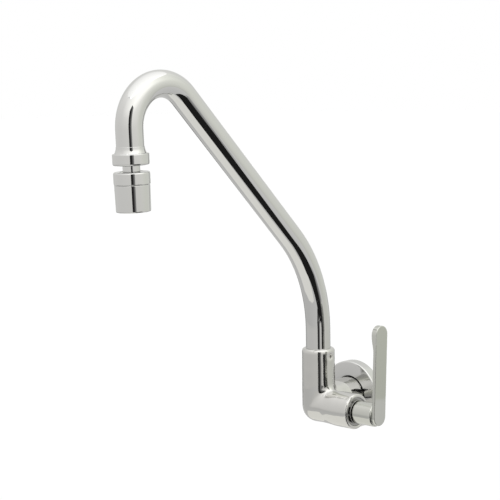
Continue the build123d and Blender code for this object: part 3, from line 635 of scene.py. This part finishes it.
def inlet_nipple():
    """The pipe nipple: a turned blank with a key socket, into which a thread is cut."""
    blank = turned("nipple_blank", nipple_outline(), thread_sides)
    cut = Grown(
        "pipe_thread",
        {
            "Pitch": ("Float", thread_pitch),
            "Depth": ("Float", thread_depth),
            "Crest Radius": ("Float", thread_crest_r),
        },
    )
    place = cut.node("GeometryNodeInputPosition").outputs["Position"]
    axes = cut.node("ShaderNodeSeparateXYZ", {"Vector": place}).outputs
    squares = cut.math("ADD", cut.math("POWER", axes["X"], 2.0), cut.math("POWER", axes["Z"], 2.0))
    across = cut.math("POWER", squares, 0.5)
    # The cut's depth goes up and down once in each turn of the helix, rounded at crest and root.
    turn = cut.math("DIVIDE", cut.math("ARCTAN2", axes["Z"], axes["X"]), 2 * math.pi)
    turns_along = cut.math("DIVIDE", axes["Y"], cut.given["Pitch"])
    phase = cut.math("FRACT", cut.math("SUBTRACT", turns_along, turn))
    flank = cut.math("ABSOLUTE", cut.math("SUBTRACT", cut.math("MULTIPLY", phase, 2.0), 1.0))
    round_crest = cut.math("SMOOTH_MAX", flank, thread_rounding, thread_rounding)
    profile = cut.math("SMOOTH_MIN", round_crest, 1.0 - thread_rounding, thread_rounding)
    depth_here = cut.math("MULTIPLY", profile, cut.given["Depth"])
    # What stands further out than the cut is drawn in to it, and the bore stays.
    reach = cut.math("SUBTRACT", cut.given["Crest Radius"], depth_here)
    wanted = cut.math("MINIMUM", across, reach)
    scale = cut.math("DIVIDE", wanted, across)
    sideways = cut.math("MULTIPLY", axes["X"], scale)
    upward = cut.math("MULTIPLY", axes["Z"], scale)
    drawn_in = cut.node("ShaderNodeCombineXYZ", {"X": sideways, "Y": axes["Y"], "Z": upward})
    shaping = {
        "Geometry": cut.given["Geometry"],
        "Selection": cut.math("GREATER_THAN", across, cut_from_r),
        "Position": drawn_in.outputs["Vector"],
    }
    moved = cut.node("GeometryNodeSetPosition", shaping)
    mesh = cut.grow(blank, moved.outputs["Geometry"], brass)
    closed_and_smoothed(mesh, thread_crease)
    placed("threaded_nipple", mesh, brass, "body", "inlet_nipple")


spout_tube()
wall_flange()
inlet_nipple()


# ---------------------------------------------------------------- sizes and levels of the studio
studio_centre = Vector((0.0, -0.14, 0.0))
white = (1.0, 1.0, 1.0, 1.0)
floor_z = -0.30
floor_reach = 30.0
floor_colour = (0.80, 0.80, 0.80)
floor_lift = 0.22                # makes the lit floor white for the camera
sky_light = 0.7
key_light = 1.0
key_softness = math.radians(36.0)
key_azimuth = math.radians(-60.0)
key_height = math.radians(68.0)

wall_radius = 1.5
wall_top_z = 2.0
wall_sides = 96
# The wall's level by height, in front of the faucet and elsewhere, then the share of the first and
# the tint by azimuth. The azimuths of wall and cards are in degrees from +X.
front_levels = [
    (-0.28, 0.55),
    (-0.08, 0.60),
    (0.07, 0.66),
    (0.33, 0.76),
    (0.60, 0.84),
    (0.85, 1.05),
    (1.10, 1.20),
]
other_levels = [
    (-0.29, 0.50),
    (-0.20, 0.53),
    (-0.08, 0.59),
    (0.07, 0.61),
    (0.60, 0.66),
    (1.25, 0.73),
    (1.90, 0.82),
]
front_share_by_azimuth = [(-110, 0), (-80, 0.35), (-20, 1), (20, 1), (45, 0.35), (70, 0)]
wall_tint_by_azimuth = [
    (-180, (0.89, 0.89, 0.87)),
    (-168, (1.0, 0.99, 0.97)),
    (-90, (1.0, 0.99, 0.965)),
    (10, (1.0, 0.99, 0.95)),
    (45, (1.00, 1.01, 0.93)),
    (85, (1.01, 1.02, 0.96)),
    (100, (0.92, 0.92, 0.89)),
    (180, (0.89, 0.89, 0.87)),
]

card_strength = 1.35             # the cards' light, which chrome gives back dimmed by its own grey
card_white = (1.0, 0.995, 0.98)
black = 0.012
grey_floor_z = floor_z + 0.002   # the cards on the floor lie one over the other
sheet_z = floor_z + 0.004
mat_z = floor_z + 0.006

grey_floor_r = 1.02 * wall_radius
grey_floor_sides = 48
grey_floor_level = 0.53
grey_floor_swing = 0.07          # as much paler on one side, and darker on the other
grey_floor_palest = math.radians(30.0)
grey_floor_middle_level = 0.50

sheet_white = (1.0, 0.99, 0.94)
sheet_level = 0.73
sheet_outline = [
    (-0.10, 0.25),
    (-0.26, 0.10),
    (-0.34, -0.15),
    (-0.45, -0.40),
    (-0.20, -0.62),
    (0.10, -0.68),
    (0.33, -0.60),
    (0.25, -0.33),
    (0.12, -0.20),
    (0.10, 0.15),
]

near_wall = 1.3                  # distance of the cards that stand before the wall
slit_left = -52.8
slit_middle = -42.0
slit_right = -29.5
slit_sides_top_z = 0.78
slit_middle_top_z = 0.98
slit_middle_level = 0.02
slit_right_level = 0.28
foot_right = -37.0               # where the floor before the slit ends and the skirt's begins
foot_right_level = 0.20
foot_corner = (0.66, -0.60)
skirt_right = -14.0
skirt_top_z = -0.245
skirt_corner = (0.85, -0.22)

mat_front_corner = (0.755, -0.61)
mat_outline = [(0.20, -0.30), mat_front_corner, (0.90, 0.07), (0.17, 0.05)]
mat_end_distance = 0.86
mat_end_left = -17.0
mat_end_top_left = -16.0
mat_end_right = -4.0
mat_end_top_z = -0.055
mat_corner_right = 15.0
mat_corner_top_z = -0.085
mat_corner_levels = [0.05, 0.40, 0.40, 0.05]

flag_azimuths = (112.0, 158.0)
flag_half_width = 6.0
flag_top_z = -0.03
flag_level = 0.06

ceiling_z = wall_top_z - 0.01
ceiling_levels = [0.88, 1.30, 1.32, 0.76]


# ---------------------------------------------------------------- studio
class Glow(Wiring):
    """A glowing material, whose light is fed by colour and strength."""

    def __init__(self, name):
        self.material = bpy.data.materials.new(name)
        self.material.use_nodes = True
        super().__init__(self.material.node_tree)
        self.tree.nodes.clear()
        emission = self.node("ShaderNodeEmission")
        self.node("ShaderNodeOutputMaterial", {"Surface": emission.outputs["Emission"]})
        self.light = emission.inputs

    def ramp(self, source, low, high, stops):
        """A colour ramp over a value that runs from low to high; stops are (value, colour)."""
        spread = self.node("ShaderNodeMapRange", {"Value": source, "From Min": low, "From Max": high})
        made = self.node("ShaderNodeValToRGB", {"Fac": spread.outputs["Result"]})
        elements = made.color_ramp.elements
        while len(elements) < len(stops):
            elements.new(0.5)
        for element, (value, colour) in zip(elements, stops):
            element.position = (value - low) / (high - low)
            element.color = (*colour, 1.0)
        return made.outputs["Color"]

    def blended(self, kind, factor, first, second):
        """Two colours mixed."""
        feeds = {"Factor": factor, "A": first, "B": second}
        return self.node("ShaderNodeMix", feeds, data_type="RGBA", blend_type=kind).outputs["Result"]


def greys(levels):
    """A ramp's stops from values and their grey levels."""
    return [(value, (level, level, level)) for value, level in levels]


def around(centre, angle, distance):
    """A place on the plan, at an angle and distance from a centre."""
    return (centre.x + distance * math.cos(angle), centre.y + distance * math.sin(angle))


def from_sleeve(azimuth, distance):
    """A place on the plan, at an azimuth in degrees and a distance from the sleeve's axis."""
    return around(sleeve_axis, math.radians(azimuth), distance)


def level_square(reach, z):
    """The corners of a square that lies level, from the one on the left in front."""
    return [(-reach, -reach, z), (reach, -reach, z), (reach, reach, z), (-reach, reach, z)]


def staged(name, corners, faces, material):
    """A studio piece that the object's metal sees and the camera doesn't."""
    mesh = bpy.data.meshes.new(name)
    mesh.from_pydata(corners, [], faces)
    mesh.materials.append(material)
    thing = bpy.data.objects.new(name, mesh)
    bpy.context.scene.collection.objects.link(thing)
    thing.visible_camera = False
    thing.visible_diffuse = False
    thing.visible_shadow = False
    thing.visible_transmission = False
    return thing


def card(name, corners, levels, faces=None, colour=card_white):
    """A flat card whose brightness runs between the levels at its corners, or has one level."""
    glow = Glow(name)
    level_here = glow.node("ShaderNodeAttribute", attribute_name="level").outputs["Fac"]
    glow.feed(glow.light["Strength"], level_here)
    glow.feed(glow.light["Color"], (*colour, 1.0))
    thing = staged(name, corners, faces or [tuple(range(len(corners)))], glow.material)
    if not isinstance(levels, list):
        levels = [levels] * len(corners)
    shade = thing.data.attributes.new("level", "FLOAT", "POINT")
    for point, level in zip(shade.data, levels):
        point.value = card_strength * level


def lying_card(name, outline, z, levels, colour=card_white):
    """A card at one height; its corners are places on the plan."""
    card(name, [(x, y, z) for x, y in outline], levels, colour=colour)


def standing_card(name, distance, places, levels):
    """An upright card; its corners are azimuths and heights, at a distance from the sleeve's axis."""
    card(name, [(*from_sleeve(azimuth, distance), z) for azimuth, z in places], levels)


def wall_light(glow):
    """The wall's greys by height and side, with their tint."""
    place = glow.node("ShaderNodeTexCoord").outputs["Object"]
    from_centre = glow.node("ShaderNodeVectorMath", {0: place, 1: studio_centre}, operation="SUBTRACT")
    axes = glow.node("ShaderNodeSeparateXYZ", {"Vector": from_centre.outputs["Vector"]}).outputs
    azimuth = glow.math("DEGREES", glow.math("ARCTAN2", axes["Y"], axes["X"]))
    in_front = glow.ramp(axes["Z"], floor_z, wall_top_z, greys(front_levels))
    elsewhere = glow.ramp(axes["Z"], floor_z, wall_top_z, greys(other_levels))
    front_share = glow.ramp(azimuth, -180, 180, greys(front_share_by_azimuth))
    tint = glow.ramp(azimuth, -180, 180, wall_tint_by_azimuth)
    level = glow.blended("MIX", front_share, elsewhere, in_front)
    return glow.blended("MULTIPLY", 1.0, level, tint)


def surround_wall():
    """A round grey studio wall; beside the camera it goes over into white above."""
    glow = Glow("surround_wall")
    glow.feed(glow.light["Color"], wall_light(glow))
    glow.feed(glow.light["Strength"], card_strength)
    corners = []
    faces = []
    for i in range(wall_sides):
        x, y = around(studio_centre, 2 * math.pi * i / wall_sides, wall_radius)
        corners += [(x, y, floor_z), (x, y, wall_top_z)]
        j = (i + 1) % wall_sides
        faces.append((2 * i, 2 * j, 2 * j + 1, 2 * i + 1))
    staged("surround_wall", corners, faces, glow.material)


def slit_by_camera():
    """The narrow dark gap in the studio wall on the camera's left, paler to its right."""
    standing_card(
        "slit_by_camera",
        near_wall,
        [
            (slit_left, sheet_z),
            (slit_middle, sheet_z),
            (slit_middle, slit_middle_top_z),
            (slit_left, slit_sides_top_z),
        ],
        [black, slit_middle_level, slit_middle_level, black],
    )
    standing_card(
        "slit_by_camera",
        near_wall,
        [
            (slit_middle, sheet_z),
            (slit_right, sheet_z),
            (slit_right, slit_sides_top_z),
            (slit_middle, slit_middle_top_z),
        ],
        [slit_middle_level, slit_right_level, slit_right_level, slit_middle_level],
    )


def slit_skirt():
    """The dark foot of the wall to the slit's right, and the dark floor before slit and skirt."""
    skirt = [
        (slit_right, sheet_z),
        (skirt_right, sheet_z),
        (skirt_right, skirt_top_z),
        (slit_right, skirt_top_z),
    ]
    standing_card("slit_skirt", near_wall, skirt, black)
    foot_end = from_sleeve(foot_right, near_wall)
    skirt_floor = [foot_end, from_sleeve(skirt_right, near_wall), skirt_corner, mat_front_corner]
    lying_card("slit_skirt_floor", skirt_floor, sheet_z, black)
    slit_floor = [from_sleeve(slit_left, near_wall), foot_end, mat_front_corner, foot_corner]
    lying_card("slit_foot", slit_floor, sheet_z, [black, foot_right_level, black, black])


def dark_mat():
    """A black mat on the studio floor to the right, with an upturned end that pales at its corner."""
    lying_card("dark_mat", mat_outline, mat_z, black)
    end = [
        (mat_end_left, mat_z),
        (mat_end_right, mat_z),
        (mat_end_right, mat_end_top_z),
        (mat_end_top_left, mat_end_top_z),
    ]
    standing_card("dark_mat_end", mat_end_distance, end, black)
    corner = [
        (mat_end_right, mat_z),
        (mat_corner_right, mat_z),
        (mat_corner_right, mat_corner_top_z),
        (mat_end_right, mat_end_top_z),
    ]
    standing_card("dark_mat_corner", mat_end_distance, corner, mat_corner_levels)


def pale_sheet():
    """The pale sheet under the faucet."""
    lying_card("pale_sheet", sheet_outline, sheet_z, sheet_level, sheet_white)


def grey_floor():
    """The greyer floor round the pale sheet, a fan of triangles round its middle."""
    corners = [(studio_centre.x, studio_centre.y, grey_floor_z)]
    levels = [grey_floor_middle_level]
    faces = []
    for i in range(grey_floor_sides):
        a = 2 * math.pi * i / grey_floor_sides
        corners.append((*around(studio_centre, a, grey_floor_r), grey_floor_z))
        levels.append(grey_floor_level + grey_floor_swing * math.cos(a - grey_floor_palest))
        faces.append((0, i + 1, (i + 1) % grey_floor_sides + 1))
    card("grey_floor", corners, levels, faces)


def back_flags():
    """Two low dark cards behind the faucet, which draw its sides when it is seen from there."""
    for azimuth in flag_azimuths:
        left, right = azimuth - flag_half_width, azimuth + flag_half_width
        places = [(left, mat_z), (right, mat_z), (right, flag_top_z), (left, flag_top_z)]
        standing_card("back_flag", near_wall, places, flag_level)


def overhead_softbox():
    """The bright ceiling, brightest above the camera's side."""
    card("overhead_softbox", level_square(wall_radius, ceiling_z), ceiling_levels)


def seen_rays(wiring):
    """1 for the rays of the camera and those that metal and glass send on."""
    rays = wiring.node("ShaderNodeLightPath").outputs
    by_eye_or_metal = wiring.math("MAXIMUM", rays["Is Camera Ray"], rays["Is Glossy Ray"])
    return wiring.math("MAXIMUM", by_eye_or_metal, rays["Is Transmission Ray"])


def studio_floor():
    """A pale floor, white where it is lit, that keeps the object's shadow and is clear from below."""
    material = bpy.data.materials.new("studio_floor")
    material.use_nodes = True
    wiring = Wiring(material.node_tree)
    shader = wiring.tree.nodes["Principled BSDF"]
    surface = {
        "Base Color": (*floor_colour, 1.0),
        "Roughness": 1.0,
        "Specular IOR Level": 0.0,
        "Emission Color": white,
        "Emission Strength": wiring.math("MULTIPLY", seen_rays(wiring), floor_lift),
    }
    for key, source in surface.items():
        wiring.feed(shader.inputs[key], source)
    from_below = wiring.node("ShaderNodeNewGeometry").outputs["Backfacing"]
    clear = wiring.node("ShaderNodeBsdfTransparent").outputs["BSDF"]
    mix = wiring.node("ShaderNodeMixShader", {"Fac": from_below, 1: shader.outputs["BSDF"], 2: clear})
    wiring.feed(wiring.tree.nodes["Material Output"].inputs["Surface"], mix.outputs["Shader"])
    mesh = bpy.data.meshes.new("studio_floor")
    mesh.from_pydata(level_square(floor_reach, floor_z), [], [(0, 1, 2, 3)])
    mesh.materials.append(material)
    floor = bpy.data.objects.new("studio_floor", mesh)
    bpy.context.scene.collection.objects.link(floor)


def studio_world():
    """White all round for the camera and in metal and glass, and a soft sky light."""
    world = bpy.data.worlds.new("studio_world")
    bpy.context.scene.world = world
    world.use_nodes = True
    wiring = Wiring(world.node_tree)
    background = wiring.tree.nodes["Background"].inputs
    either = {"Value": seen_rays(wiring), "To Min": sky_light, "To Max": 1.0}
    strength = wiring.node("ShaderNodeMapRange", either)
    wiring.feed(background["Color"], white)
    wiring.feed(background["Strength"], strength.outputs["Result"])


def key_softbox():
    """The large soft lamp above the camera's side."""
    data = bpy.data.lights.new("key_softbox", "SUN")
    data.energy = key_light
    data.angle = key_softness
    lamp = bpy.data.objects.new("key_softbox", data)
    towards = Vector(
        (
            math.cos(key_azimuth) * math.cos(key_height),
            math.sin(key_azimuth) * math.cos(key_height),
            math.sin(key_height),
        )
    )
    lamp.rotation_mode = "QUATERNION"
    lamp.rotation_quaternion = towards.to_track_quat("Z", "Y")
    bpy.context.scene.collection.objects.link(lamp)


photo_camera()
surround_wall()
slit_by_camera()
slit_skirt()
dark_mat()
pale_sheet()
grey_floor()
back_flags()
overhead_softbox()
studio_floor()
studio_world()
key_softbox()

scene = bpy.context.scene
scene.view_settings.view_transform = "Standard"
